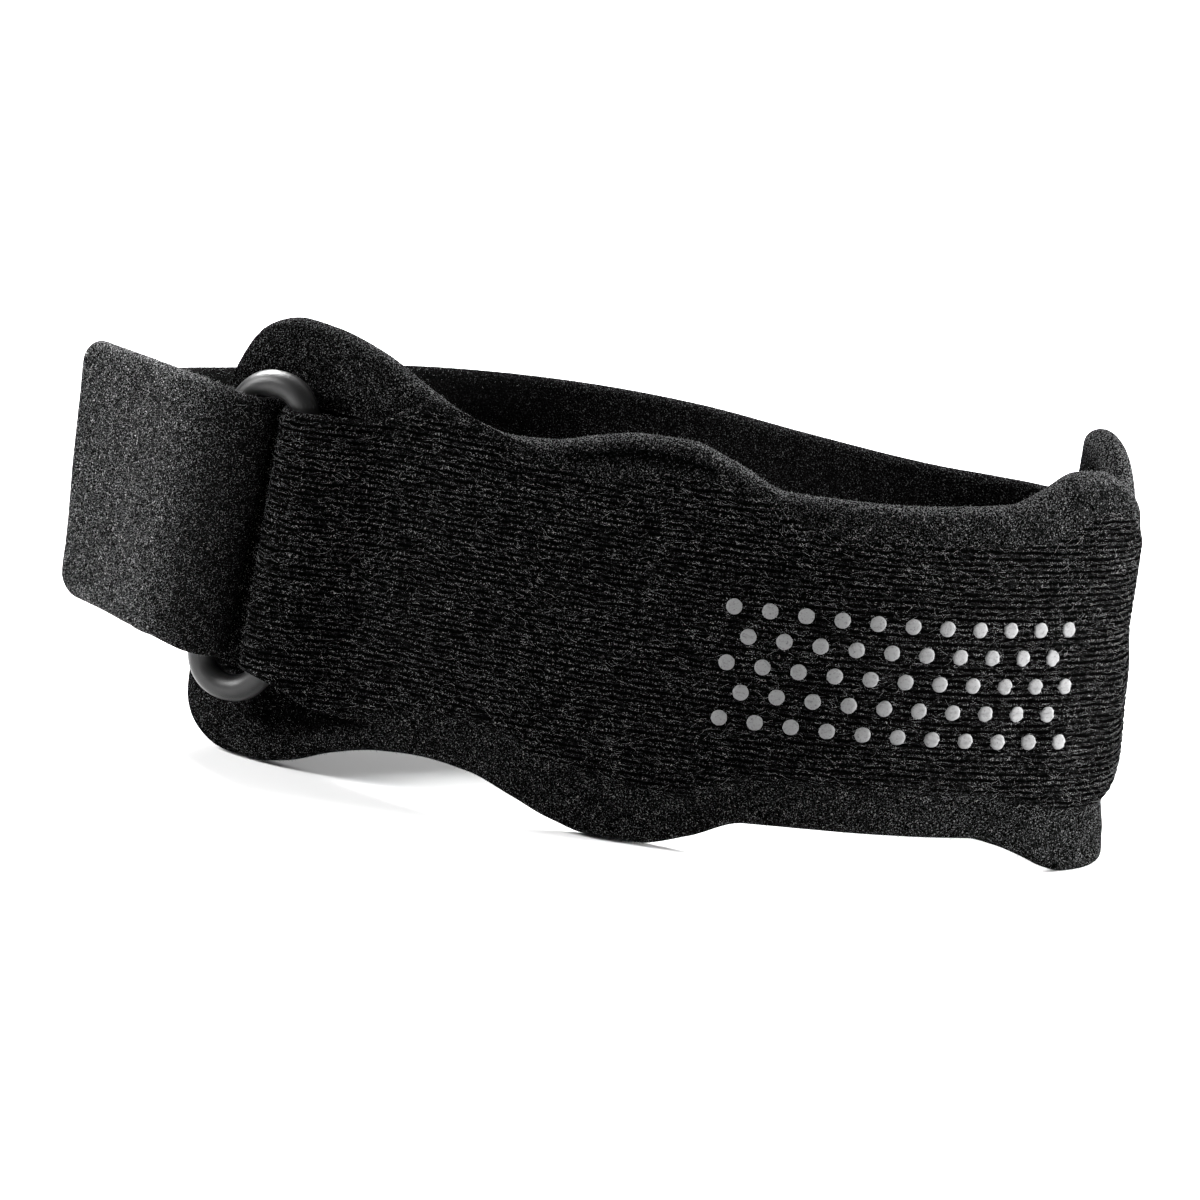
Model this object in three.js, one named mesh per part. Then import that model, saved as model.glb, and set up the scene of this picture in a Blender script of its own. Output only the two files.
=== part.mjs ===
// Patella strap: a contoured padded band, a ribbed knit cover band whose tab holds an oval ring,
// and a plush strap that runs round the back, through the ring and folds back to a free end.
// Units are millimetres, +Z is up, +Y points away from the front of the pad.

import * as THREE from 'three';

// Plan of the loop
const loopWidth = 150;
const loopDepth = 75;

// Pad
const padThickness = 4.2;
const lobeHeight = 68;
const padEndRadius = 9;
const padEndThinness = 0.5;
const padStep = 2.6;
const edgeFlat = 1.4;

// Knit band
const knitThickness = 1.6;
const knitWidth = 48;
const knitEndMargin = 5;
const tabLanding = 13;
const tabReturn = 7;

// Ring
const ringTube = 4;
const ringInnerWidth = 7.8;
const ringInnerLength = 42.6;
const ringCornerRadius = 4.4;
const ringStandoff = 18.8;
const ringTilt = THREE.MathUtils.degToRad(5);
const ringRise = 1.1;
const ringSides = 14;

// Strap
const strapWidth = 40;
const strapThickness = 2.2;
const strapEndRadius = 4.2;
const strapStep = 3;
const strapRiseAtRing = 0.3;
const strapSag = 0.7;
const strapSagAtPad = 3;
const strapLift = 0.9;
const strapLead = 4;
const flapReach = 33.2;
const flapSettles = 0.3;
const flapRise = 2.5;
const flapDrop = 0.5;

// Hook patch inside the free end
const hookThickness = 1;
const hookWidth = 34;
const hookLength = 14;
const hookInset = 3;

// Clearances
const seatGap = 0.3;
const tabGap = 0.7;
const foldGap = 0.8;
const wrapSteps = 10;

// Middle surface of the pad in plan, x as a share of the loop's width and y of its depth
const padPlan = [
  { x: -0.397, y: 0.360 },
  { x: -0.322, y: 0.269 },
  { x: -0.220, y: 0.165 },
  { x: -0.121, y: 0.088 },
  { x: -0.020, y: 0.043 },
  { x: 0.093, y: 0.016 },
  { x: 0.227, y: 0.011 },
  { x: 0.325, y: 0.052 },
  { x: 0.400, y: 0.112 },
  { x: 0.463, y: 0.187 },
  { x: 0.498, y: 0.264 },
  { x: 0.507, y: 0.353 },
  { x: 0.501, y: 0.440 },
  { x: 0.488, y: 0.513 },
  { x: 0.471, y: 0.593 },
];

// Outline of the pad, at as a share of its length, top and bottom as shares of the lobe height
const padOutline = [
  { at: 0.000, top: 0.840, bottom: 0.000 },
  { at: 0.040, top: 0.962, bottom: 0.000 },
  { at: 0.078, top: 0.993, bottom: 0.000 },
  { at: 0.110, top: 0.987, bottom: 0.015 },
  { at: 0.157, top: 0.958, bottom: 0.062 },
  { at: 0.200, top: 0.908, bottom: 0.091 },
  { at: 0.244, top: 0.860, bottom: 0.101 },
  { at: 0.285, top: 0.838, bottom: 0.091 },
  { at: 0.325, top: 0.846, bottom: 0.056 },
  { at: 0.360, top: 0.870, bottom: 0.022 },
  { at: 0.400, top: 0.889, bottom: 0.000 },
  { at: 0.436, top: 0.890, bottom: 0.000 },
  { at: 0.481, top: 0.855, bottom: 0.031 },
  { at: 0.526, top: 0.809, bottom: 0.077 },
  { at: 0.600, top: 0.807, bottom: 0.082 },
  { at: 0.724, top: 0.825, bottom: 0.082 },
  { at: 0.752, top: 0.857, bottom: 0.067 },
  { at: 0.784, top: 0.901, bottom: 0.038 },
  { at: 0.808, top: 0.902, bottom: 0.012 },
  { at: 0.828, top: 0.884, bottom: 0.000 },
  { at: 0.872, top: 0.812, bottom: 0.000 },
  { at: 0.896, top: 0.775, bottom: 0.050 },
  { at: 0.922, top: 0.835, bottom: 0.000 },
  { at: 0.947, top: 0.893, bottom: 0.000 },
  { at: 0.970, top: 0.932, bottom: 0.000 },
  { at: 1.000, top: 0.990, bottom: 0.000 },
];

// Knit band along the pad: at as a share of the pad's length, width of the knit width and
// middle of the lobe height
const knitOutline = [
  { at: 0.000, width: 0.860, middle: 0.510 },
  { at: 0.110, width: 0.860, middle: 0.510 },
  { at: 0.135, width: 0.910, middle: 0.508 },
  { at: 0.170, width: 1.000, middle: 0.505 },
  { at: 0.270, width: 0.890, middle: 0.488 },
  { at: 0.415, width: 0.920, middle: 0.463 },
  { at: 0.530, width: 0.820, middle: 0.458 },
  { at: 0.700, width: 0.830, middle: 0.462 },
  { at: 0.800, width: 0.960, middle: 0.470 },
  { at: 0.900, width: 0.840, middle: 0.460 },
  { at: 0.955, width: 0.920, middle: 0.466 },
  { at: 1.000, width: 0.900, middle: 0.466 },
];

// Far run of the strap in plan, from the pad's end round to the back of the ring
const strapPlan = [
  { x: 0.436, y: 0.680 },
  { x: 0.390, y: 0.695 },
  { x: 0.333, y: 0.700 },
  { x: 0.287, y: 0.725 },
  { x: 0.183, y: 0.825 },
  { x: 0.077, y: 0.945 },
  { x: -0.029, y: 1.000 },
  { x: -0.136, y: 0.983 },
  { x: -0.240, y: 0.904 },
  { x: -0.387, y: 0.668 },
  { x: -0.446, y: 0.524 },
  { x: -0.461, y: 0.440 },
  { x: -0.440, y: 0.360 },
];

// Free end of the strap past the ring's bar, both columns as shares of the flap's reach
const flapPlan = [
  { left: 0.100, back: -0.075 },
  { left: 0.250, back: 0.050 },
  { left: 0.360, back: 0.190 },
  { left: 0.480, back: 0.360 },
  { left: 0.610, back: 0.530 },
  { left: 0.740, back: 0.680 },
];

function planPoints(rows, width, depth) {
  return rows.map((row) => new THREE.Vector3(row.x * width, row.y * depth, 0));
}

// Monotone cubic through a table, so that a lobe's flat foot stays flat
function tableAt(rows, column, at) {
  const last = rows.length - 1;
  const place = THREE.MathUtils.clamp(at, rows[0].at, rows[last].at);
  let k = 0;
  while (k < last - 1 && place > rows[k + 1].at) k += 1;
  const rate = (i) => (rows[i + 1][column] - rows[i][column]) / (rows[i + 1].at - rows[i].at);
  const slope = (i) => {
    if (i === 0) return rate(0);
    if (i === last) return rate(last - 1);
    const before = rate(i - 1);
    const after = rate(i);
    return before * after <= 0 ? 0 : (2 * before * after) / (before + after);
  };
  const span = rows[k + 1].at - rows[k].at;
  const t = (place - rows[k].at) / span;
  const start = (1 + 2 * t) * (1 - t) * (1 - t);
  const leave = t * (1 - t) * (1 - t);
  const end = t * t * (3 - 2 * t);
  const arrive = t * t * (t - 1);
  return start * rows[k][column] + leave * span * slope(k) + end * rows[k + 1][column]
    + arrive * span * slope(k + 1);
}

// Height taken off a rounded corner at a distance from the end edge
function cornerInset(distance, radius) {
  const inside = Math.max(0, radius - distance);
  return radius - Math.sqrt(Math.max(0, radius * radius - inside * inside));
}

// Rounded rectangle across a band: n along the band's normal, z upward
function bandSection(thickness, low, high, flat) {
  const half = thickness / 2;
  const rest = Math.min(flat / 2, half * 0.8);
  const round = half - rest;
  const bend = round * (1 - Math.SQRT1_2);
  return [
    [rest, low],
    [half - bend, low + bend],
    [half, low + round],
    [half, high - round],
    [half - bend, high - bend],
    [rest, high],
    [-rest, high],
    [-half + bend, high - bend],
    [-half, high - round],
    [-half, low + round],
    [-half + bend, low + bend],
    [-rest, low],
  ];
}

function signedVolume(positions, index) {
  let volume = 0;
  const corner = (i) => new THREE.Vector3().fromArray(positions, index[i] * 3);
  for (let i = 0; i < index.length; i += 3) {
    volume += corner(i).dot(corner(i + 1).cross(corner(i + 2))) / 6;
  }
  return volume;
}

// Closed solid through rings of points; a loop joins the last ring to the first
function loft(rings, isLoop) {
  const sides = rings[0].length;
  const positions = rings.flat().flatMap((point) => point.toArray());
  const index = [];
  const spans = isLoop ? rings.length : rings.length - 1;
  for (let i = 0; i < spans; i += 1) {
    const near = i * sides;
    const far = ((i + 1) % rings.length) * sides;
    for (let j = 0; j < sides; j += 1) {
      const next = (j + 1) % sides;
      index.push(near + j, far + j, near + next, near + next, far + j, far + next);
    }
  }
  if (!isLoop) {
    const last = (rings.length - 1) * sides;
    for (let j = 1; j < sides - 1; j += 1) {
      index.push(0, j, j + 1, last, last + j + 1, last + j);
    }
  }
  if (signedVolume(positions, index) < 0) {
    for (let i = 0; i < index.length; i += 3) {
      [index[i + 1], index[i + 2]] = [index[i + 2], index[i + 1]];
    }
  }
  const geometry = new THREE.BufferGeometry();
  geometry.setAttribute('position', new THREE.Float32BufferAttribute(positions, 3));
  geometry.setIndex(index);
  geometry.computeVertexNormals();
  return geometry;
}

// Points of a plan line with their right-hand normals and their distance from its start
function planStations(points) {
  let run = 0;
  return points.map((point, i) => {
    const before = points[Math.max(i - 1, 0)];
    const after = points[Math.min(i + 1, points.length - 1)];
    const along = after.clone().sub(before).normalize();
    if (i > 0) run += point.distanceTo(before);
    return { point, normal: new THREE.Vector3(along.y, -along.x, 0), run };
  });
}

// Band lofted along plan stations, with its section given station by station
function bandSolid(stations, sectionAt) {
  const rings = stations.map((station) => sectionAt(station).map(([n, z]) => (
    station.point.clone().addScaledVector(station.normal, n).setZ(z)
  )));
  return loft(rings, false);
}

function arcPoints(centre, radius, from, to, steps) {
  const points = [];
  for (let i = 0; i <= steps; i += 1) {
    const angle = THREE.MathUtils.lerp(from, to, i / steps);
    points.push(new THREE.Vector3(Math.cos(angle), Math.sin(angle), 0).multiplyScalar(radius).add(centre));
  }
  return points;
}

function meshOf(name, geometry, color, roughness) {
  const mesh = new THREE.Mesh(geometry, new THREE.MeshStandardMaterial({ color, roughness, metalness: 0 }));
  mesh.name = name;
  return mesh;
}

const padCurve = new THREE.CatmullRomCurve3(planPoints(padPlan, loopWidth, loopDepth), false, 'centripetal');
const padLength = padCurve.getLength();

// Point beside the pad's middle surface, at a distance along it and an offset outward
function besidePad(distance, offset) {
  const share = THREE.MathUtils.clamp(distance / padLength, 0, 1);
  const along = padCurve.getTangentAt(share);
  return padCurve.getPointAt(share).addScaledVector(new THREE.Vector3(along.y, -along.x, 0), offset);
}

function padTop(distance) {
  return lobeHeight * tableAt(padOutline, 'top', distance / padLength);
}

function padBottom(distance) {
  return lobeHeight * tableAt(padOutline, 'bottom', distance / padLength);
}

function padMiddle(distance) {
  return (padTop(distance) + padBottom(distance)) / 2;
}

function makePad() {
  const ends = [0, 0.04, 0.12, 0.25, 0.45, 0.7].map((share) => share * padEndRadius);
  const distances = [...ends];
  const inner = padLength - 2 * padEndRadius;
  const steps = Math.round(inner / padStep);
  for (let i = 0; i <= steps; i += 1) distances.push(padEndRadius + (inner * i) / steps);
  ends.reverse().forEach((distance) => distances.push(padLength - distance));
  const stations = distances.map((distance) => {
    const along = padCurve.getTangentAt(distance / padLength);
    const normal = new THREE.Vector3(along.y, -along.x, 0);
    return { point: padCurve.getPointAt(distance / padLength), normal, distance };
  });
  const geometry = bandSolid(stations, (station) => {
    const fromEnd = Math.min(station.distance, padLength - station.distance);
    const inset = cornerInset(fromEnd, padEndRadius);
    const thin = cornerInset(fromEnd, padThickness / 2) * 2 * padEndThinness;
    return bandSection(padThickness - thin, padBottom(station.distance) + inset,
      padTop(station.distance) - inset, edgeFlat);
  });
  return meshOf('pad', geometry, 0x2b2b2c, 0.95);
}

// Seat of the ring: its two bars run parallel to Z, the right one inside the knit tab
const knitOffset = padThickness / 2 + seatGap + knitThickness / 2;
const barOffset = padThickness / 2 + seatGap + knitThickness + tabGap + ringTube / 2;
const knitWrap = ringTube / 2 + tabGap + knitThickness / 2;
const strapWrap = ringTube / 2 + foldGap + strapThickness / 2;
const rightBar = besidePad(ringStandoff, barOffset);
const padAlongBar = padCurve.getTangentAt(ringStandoff / padLength);
const tabAngle = Math.atan2(padAlongBar.y, padAlongBar.x);
const ringAngle = tabAngle + ringTilt;
const ringAlong = new THREE.Vector3(Math.cos(ringAngle), Math.sin(ringAngle), 0);
const leftBar = rightBar.clone().addScaledVector(ringAlong, -(ringInnerWidth + ringTube));
const ringMiddle = padMiddle(ringStandoff) + ringRise;

function makeKnitBand() {
  const points = [];
  const returnSteps = Math.ceil(tabReturn / padStep);
  for (let i = 0; i < returnSteps; i += 1) {
    const distance = ringStandoff + tabReturn * (1 - i / returnSteps);
    points.push(besidePad(distance, knitOffset));
  }
  points.push(...arcPoints(rightBar, knitWrap, tabAngle + Math.PI / 2, tabAngle + 1.5 * Math.PI, wrapSteps));
  const lift = barOffset + knitWrap;
  const landSteps = Math.ceil(tabLanding / padStep) + 2;
  for (let i = 1; i <= landSteps; i += 1) {
    const t = i / landSteps;
    const offset = THREE.MathUtils.lerp(lift, knitOffset, THREE.MathUtils.smoothstep(t, 0, 1));
    points.push(besidePad(ringStandoff + tabLanding * t, offset));
  }
  const onPad = ringStandoff + tabLanding;
  const run = padLength - knitEndMargin - onPad;
  const runSteps = Math.round(run / padStep);
  for (let i = 1; i <= runSteps; i += 1) points.push(besidePad(onPad + (run * i) / runSteps, knitOffset));

  const stations = planStations(points);
  const bandLength = stations[stations.length - 1].run;
  const geometry = bandSolid(stations, (station) => {
    const distance = Math.max(ringStandoff, padLength - knitEndMargin - (bandLength - station.run));
    const tab = 1 - THREE.MathUtils.smoothstep(distance, ringStandoff, onPad);
    const share = distance / padLength;
    const middle = THREE.MathUtils.lerp(lobeHeight * tableAt(knitOutline, 'middle', share), ringMiddle, tab);
    const half = (knitWidth / 2) * tableAt(knitOutline, 'width', share);
    return bandSection(knitThickness, middle - half, middle + half, 0);
  });
  return meshOf('knit_band', geometry, 0x343435, 0.9);
}

function makeRing() {
  const halfWidth = (ringInnerWidth + ringTube) / 2;
  const halfLength = (ringInnerLength + ringTube) / 2;
  const centre = leftBar.clone().add(rightBar).multiplyScalar(0.5);
  const across = new THREE.Vector3(ringAlong.y, -ringAlong.x, 0);
  const corners = [
    { along: 1, up: 1, turn: 0 },
    { along: -1, up: 1, turn: 0.5 * Math.PI },
    { along: -1, up: -1, turn: Math.PI },
    { along: 1, up: -1, turn: 1.5 * Math.PI },
  ];
  const cornerSteps = 6;
  const rings = [];
  corners.forEach((corner) => {
    const along = corner.along * (halfWidth - ringCornerRadius);
    const up = ringMiddle + corner.up * (halfLength - ringCornerRadius);
    for (let i = 0; i <= cornerSteps; i += 1) {
      const angle = corner.turn + (0.5 * Math.PI * i) / cornerSteps;
      const section = [];
      for (let j = 0; j < ringSides; j += 1) {
        const spin = (2 * Math.PI * j) / ringSides;
        const reach = ringCornerRadius + (ringTube / 2) * Math.cos(spin);
        const point = centre.clone().addScaledVector(ringAlong, along + reach * Math.cos(angle));
        point.addScaledVector(across, (ringTube / 2) * Math.sin(spin));
        section.push(point.setZ(up + reach * Math.sin(angle)));
      }
      rings.push(section);
    }
  });
  return meshOf('ring', loft(rings, true), 0x3a3a3b, 0.42);
}

// Plan line of the strap, with the distances at which it enters and leaves the ring
function strapLine() {
  const leave = padCurve.getTangentAt(1);
  const start = padCurve.getPointAt(1).addScaledVector(leave, seatGap);
  const lead = start.clone().addScaledVector(leave, strapLead);
  const behindBar = leftBar.clone().addScaledVector(ringAlong, -strapWrap / 2);
  const back = behindBar.addScaledVector(new THREE.Vector3(-ringAlong.y, ringAlong.x, 0), strapWrap);
  const far = planPoints(strapPlan, loopWidth, loopDepth);
  const farCurve = new THREE.CatmullRomCurve3([start, lead, ...far, back], false, 'centripetal');
  const farPoints = farCurve.getSpacedPoints(Math.round(farCurve.getLength() / strapStep));
  const wrap = arcPoints(leftBar, strapWrap, ringAngle + Math.PI / 2, ringAngle - Math.PI / 2, wrapSteps);
  const flap = flapPlan.map((row) => (
    new THREE.Vector3(leftBar.x - row.left * flapReach, leftBar.y + row.back * flapReach, 0)
  ));
  const flapCurve = new THREE.CatmullRomCurve3([wrap[wrapSteps], ...flap], false, 'centripetal');
  const flapPoints = flapCurve.getSpacedPoints(Math.round(flapCurve.getLength() / strapStep) + 2);
  const stations = planStations([...farPoints, ...wrap, ...flapPoints.slice(1)]);
  return {
    stations,
    entry: stations[farPoints.length - 1].run,
    exit: stations[farPoints.length + wrapSteps].run,
    total: stations[stations.length - 1].run,
  };
}

const strapRoute = strapLine();

// Middle height of the strap: the pad's end, the far run, the ring and the rising free end
function strapMiddle(run) {
  const { entry, exit, total } = strapRoute;
  const padEnd = padMiddle(padLength) - strapSagAtPad;
  const farLeft = padMiddle(ringStandoff) - strapSag;
  const atRing = ringMiddle + strapRiseAtRing;
  const bendStart = entry - strapWidth;
  if (run < bendStart) {
    const lift = strapLift * Math.sin((Math.PI * run) / bendStart);
    return THREE.MathUtils.lerp(padEnd, farLeft, run / bendStart) + lift;
  }
  if (run < entry) {
    return THREE.MathUtils.lerp(farLeft, atRing, THREE.MathUtils.smoothstep(run, bendStart, entry));
  }
  const settled = THREE.MathUtils.lerp(exit, total, flapSettles);
  const rise = THREE.MathUtils.smoothstep(run, entry, settled);
  const drop = flapDrop * THREE.MathUtils.smoothstep(run, settled, total);
  return THREE.MathUtils.lerp(atRing, ringMiddle + flapRise, rise) - drop;
}

function makeStrap() {
  const geometry = bandSolid(strapRoute.stations, (station) => {
    const inset = cornerInset(strapRoute.total - station.run, strapEndRadius);
    const middle = strapMiddle(station.run);
    const half = strapWidth / 2 - inset;
    return bandSection(strapThickness, middle - half, middle + half, 0);
  });
  return meshOf('strap', geometry, 0x4a4a4b, 1);
}

// The patch lies on the inner face of the free end, which is the right-hand side of the route there
function makeHookPatch() {
  const offset = strapThickness / 2 + seatGap + hookThickness / 2;
  const { total } = strapRoute;
  const span = strapRoute.stations.filter((station) => (
    station.run > total - hookInset - hookLength && station.run < total - hookInset
  ));
  const stations = span.map((station) => (
    { ...station, point: station.point.clone().addScaledVector(station.normal, offset) }
  ));
  const geometry = bandSolid(stations, (station) => {
    const middle = strapMiddle(station.run);
    return bandSection(hookThickness, middle - hookWidth / 2, middle + hookWidth / 2, 0);
  });
  return meshOf('hook_patch', geometry, 0x1f1f20, 0.8);
}

const group = new THREE.Group();
group.add(makePad(), makeKnitBand(), makeRing(), makeStrap(), makeHookPatch());

// Centre the whole over the origin, standing on the lobes
const bounds = new THREE.Box3().setFromObject(group, true);
const centre = bounds.getCenter(new THREE.Vector3());
group.position.set(-centre.x, -centre.y, -bounds.min.z);

export default group;
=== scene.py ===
"""Patella strap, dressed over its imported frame.

A padded plush band with lobes, a ribbed knit front whose tab holds an oval ring, and a brushed strap
that closes the loop: it leaves the pad's far end, runs round the back, through the ring and folds
back to a free end. Shapes are worked out in millimetres, in the plan of the loop.
"""

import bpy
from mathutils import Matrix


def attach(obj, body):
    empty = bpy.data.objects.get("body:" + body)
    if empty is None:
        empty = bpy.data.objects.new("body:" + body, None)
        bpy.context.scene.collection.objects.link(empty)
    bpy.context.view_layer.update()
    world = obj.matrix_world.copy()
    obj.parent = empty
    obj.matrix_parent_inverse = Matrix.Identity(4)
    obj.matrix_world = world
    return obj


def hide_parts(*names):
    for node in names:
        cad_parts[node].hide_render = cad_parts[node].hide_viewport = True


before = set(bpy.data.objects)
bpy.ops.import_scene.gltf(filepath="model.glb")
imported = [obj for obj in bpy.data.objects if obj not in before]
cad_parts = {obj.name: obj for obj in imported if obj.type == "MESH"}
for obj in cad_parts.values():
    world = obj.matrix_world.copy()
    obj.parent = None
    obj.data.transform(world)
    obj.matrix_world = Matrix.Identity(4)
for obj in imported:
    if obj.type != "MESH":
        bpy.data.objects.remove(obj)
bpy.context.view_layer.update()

import math

import bpy
import numpy as np
from mathutils import Matrix, Vector

MM = 0.001
# Where the plan's origin lies in the frame, from the centring of the part
LOOP_SHIFT = np.array([1.3526, -36.4167, 0.0])

# Sizes of the part, as in its source

LOOP_WIDTH = 150.0
LOOP_DEPTH = 75.0
PAD_THICKNESS = 4.2
LOBE_HEIGHT = 68.0
PAD_END_RADIUS = 9.0
KNIT_THICKNESS = 1.6
KNIT_WIDTH = 48.0
KNIT_END_MARGIN = 5.0
TAB_LANDING = 13.0
TAB_RETURN = 7.0
RING_TUBE = 4.0
RING_INNER_WIDTH = 7.8
RING_INNER_LENGTH = 42.6
RING_STANDOFF = 18.8
RING_TILT = math.radians(5)
RING_RISE = 1.1
STRAP_WIDTH = 40.0
STRAP_THICKNESS = 2.2
STRAP_END_RADIUS = 4.2
STRAP_RISE_AT_RING = 0.3
STRAP_SAG = 0.7
STRAP_SAG_AT_PAD = 3.0
STRAP_LIFT = 0.9
STRAP_LEAD = 4.0
FLAP_REACH = 33.2
FLAP_RISE = 2.5
FLAP_DROP = 0.5
FLAP_SETTLES = 0.3
SEAT_GAP = 0.3
TAB_GAP = 0.7
FOLD_GAP = 0.8

# Sizes of the detail that the dressed part adds
PAD_SHOULDER = 1.6
PAD_END_SHOULDER = 2.4
PAD_PUFF = 0.45
PAD_PUFF_INSIDE = 0.5
PAD_WAVE = 0.22
RIM_SWELL = 0.25
RIM_GROOVE = 0.6
FOOT_GROOVE = 0.30
FOOT_FLARE = 1.9
LOBE_FLARE = 0.4
RIB_PITCH = 0.92
RIB_DEPTH = 0.36
PULLED_RIB_DEPTH = 0.32
KNIT_DOME = 0.35
KNIT_EDGE_DROP = 1.95
KNIT_END_DROP = 1.3
KNIT_UNDER_RIM = 3.5
KNIT_RISE_LIMIT = 3.2
TAB_TOP_RISE = 1.7
# Where the knit is pulled round the pad's bend, as a run along its line
BEND_START = 142.0
RING_CORNER = 5.2
RING_NARROWING = 0.5
PARTING_LINE = 0.05
# The ring and the folds on it lean to the right at the top
RING_LEAN = math.tan(math.radians(3.4))
FOLD_LEAN = math.tan(math.radians(6.0))
STRAP_TUCK = 2.2
STRAP_SHOULDER = 1.25
STRAP_END_SHOULDER = 1.5
STITCH_LENGTH = 1.9
STITCH_GAP = 0.9
THREAD_THICKNESS = 0.34
# How far the two rows of stitches lie before the pad's far end
SEAM_ROWS = (8.6, 6.6)
DOT_ROWS = 5
DOT_COLUMNS = 11
DOT_PITCH = 5.2
DOT_ROW_PITCH = 0.8 * DOT_PITCH
DOT_RADIUS = 1.25
DOT_START = 78.0
DOT_LOW = 21.5

# Steps in mm and numbers of points along and round the pieces
PAD_STEP = 0.8
PAD_FACE_POINTS = 34
KNIT_STEP = 1.15
KNIT_FACE_POINTS = 350
STRAP_FACE_POINTS = 30
RING_SIDES = 40
STITCH_RINGS = 7
STITCH_SIDES = 8
DOT_SIDES = 20
# How far before and after a place a cloth's line is read for its direction there
CLOTH_REACH = 0.8

PAD_PLAN = [
    (-0.397, 0.360), (-0.322, 0.269), (-0.220, 0.165), (-0.121, 0.088), (-0.020, 0.043),
    (0.093, 0.016), (0.227, 0.011), (0.325, 0.052), (0.400, 0.112), (0.463, 0.187),
    (0.498, 0.264), (0.507, 0.353), (0.501, 0.440), (0.488, 0.513), (0.471, 0.593),
]
# Share of the pad's length, top and bottom as shares of the lobe height
PAD_OUTLINE = [
    (0.000, 0.840, 0.000), (0.040, 0.962, 0.000), (0.078, 0.993, 0.000), (0.110, 0.987, 0.015),
    (0.157, 0.958, 0.062), (0.200, 0.908, 0.091), (0.244, 0.860, 0.101), (0.285, 0.838, 0.091),
    (0.325, 0.846, 0.056), (0.360, 0.870, 0.022), (0.400, 0.889, 0.000), (0.436, 0.890, 0.000),
    (0.481, 0.855, 0.031), (0.526, 0.809, 0.077), (0.600, 0.807, 0.082), (0.724, 0.825, 0.082),
    (0.752, 0.857, 0.067), (0.784, 0.901, 0.038), (0.808, 0.902, 0.012), (0.828, 0.884, 0.000),
    (0.872, 0.812, 0.000), (0.896, 0.775, 0.050), (0.922, 0.835, 0.000), (0.947, 0.893, 0.000),
    (0.970, 0.932, 0.000), (1.000, 0.990, 0.000),
]
# Share of the pad's length, width as a share of the knit width, middle of the lobe height
KNIT_OUTLINE = [
    (0.000, 0.860, 0.510), (0.110, 0.860, 0.510), (0.135, 0.910, 0.508), (0.170, 1.000, 0.505),
    (0.270, 0.890, 0.488), (0.415, 0.920, 0.463), (0.530, 0.820, 0.458), (0.700, 0.830, 0.462),
    (0.800, 0.960, 0.470), (0.900, 0.840, 0.460), (0.955, 0.920, 0.466), (1.000, 0.900, 0.466),
]
# Run along the knit's line, and how far its lower edge rises there above the outline's, in mm
KNIT_LOWER_TRIM = [
    (0.0, 1.1), (17.0, 1.1), (21.7, -0.3), (28.6, -3.4), (33.0, -2.1), (38.0, 1.0), (43.0, 1.9),
    (49.0, 1.1), (56.0, 0.0), (62.0, -1.9), (70.0, -2.3), (83.0, -2.2), (92.0, 0.0), (180.0, 0.0),
]
STRAP_PLAN = [
    (0.436, 0.680), (0.390, 0.695), (0.333, 0.700), (0.287, 0.725), (0.183, 0.825),
    (0.077, 0.945), (-0.029, 1.000), (-0.136, 0.983), (-0.240, 0.904), (-0.387, 0.668),
    (-0.446, 0.524), (-0.461, 0.440), (-0.440, 0.360),
]
FLAP_PLAN = [
    (0.100, -0.075), (0.250, 0.050), (0.360, 0.190), (0.480, 0.360), (0.610, 0.530), (0.740, 0.680),
]


# Plan lines, tables and soft noise

def smooth(x, low, high):
    """From 0 at low to 1 at high, with soft ends."""
    t = np.clip((np.asarray(x, float) - low) / (high - low), 0, 1)
    return t * t * (3 - 2 * t)


def between(x, rise, fall):
    """1 between a rise and a fall, each a pair of places, and 0 outside them."""
    return smooth(x, *rise) * (1 - smooth(x, *fall))


def hump(x, middle, reach):
    """A soft hump of height 1."""
    return np.exp(-((x - middle) / reach) ** 2)


def table_at(rows, column, at):
    """Monotone cubic through a table, as the part's source reads it."""
    rows = np.array(rows)
    places, values = rows[:, 0], rows[:, column]
    rates = np.diff(values) / np.diff(places)
    slopes = np.concatenate([rates[:1], np.zeros(len(rates) - 1), rates[-1:]])
    for i in range(1, len(rates)):
        if rates[i - 1] * rates[i] > 0:
            slopes[i] = 2 * rates[i - 1] * rates[i] / (rates[i - 1] + rates[i])
    place = np.clip(at, places[0], places[-1])
    k = np.clip(np.searchsorted(places, place, side="right") - 1, 0, len(rates) - 1)
    span = places[k + 1] - places[k]
    t = (place - places[k]) / span
    return ((1 + 2 * t) * (1 - t) ** 2 * values[k] + t * (1 - t) ** 2 * span * slopes[k]
            + t * t * (3 - 2 * t) * values[k + 1] + t * t * (t - 1) * span * slopes[k + 1])


def centripetal(points, per_span=60):
    """Dense points of a centripetal curve through plan points."""
    points = np.asarray(points, float)
    ends = np.vstack([2 * points[0] - points[1], points, 2 * points[-1] - points[-2]])
    t = np.linspace(0, 1, per_span, endpoint=False)[:, None]
    dense = []
    for i in range(len(points) - 1):
        a, b, c, d = ends[i:i + 4]
        before, span, after = (np.linalg.norm(q - p) ** 0.5 for p, q in ((a, b), (b, c), (c, d)))
        leave = ((b - a) / before - (c - a) / (before + span) + (c - b) / span) * span
        arrive = ((c - b) / span - (d - b) / (span + after) + (d - c) / after) * span
        dense.append((1 + 2 * t) * (1 - t) ** 2 * b + t * (1 - t) ** 2 * leave
                     + t * t * (3 - 2 * t) * c + t * t * (t - 1) * arrive)
    return np.vstack(dense + [points[-1:]])


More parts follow.
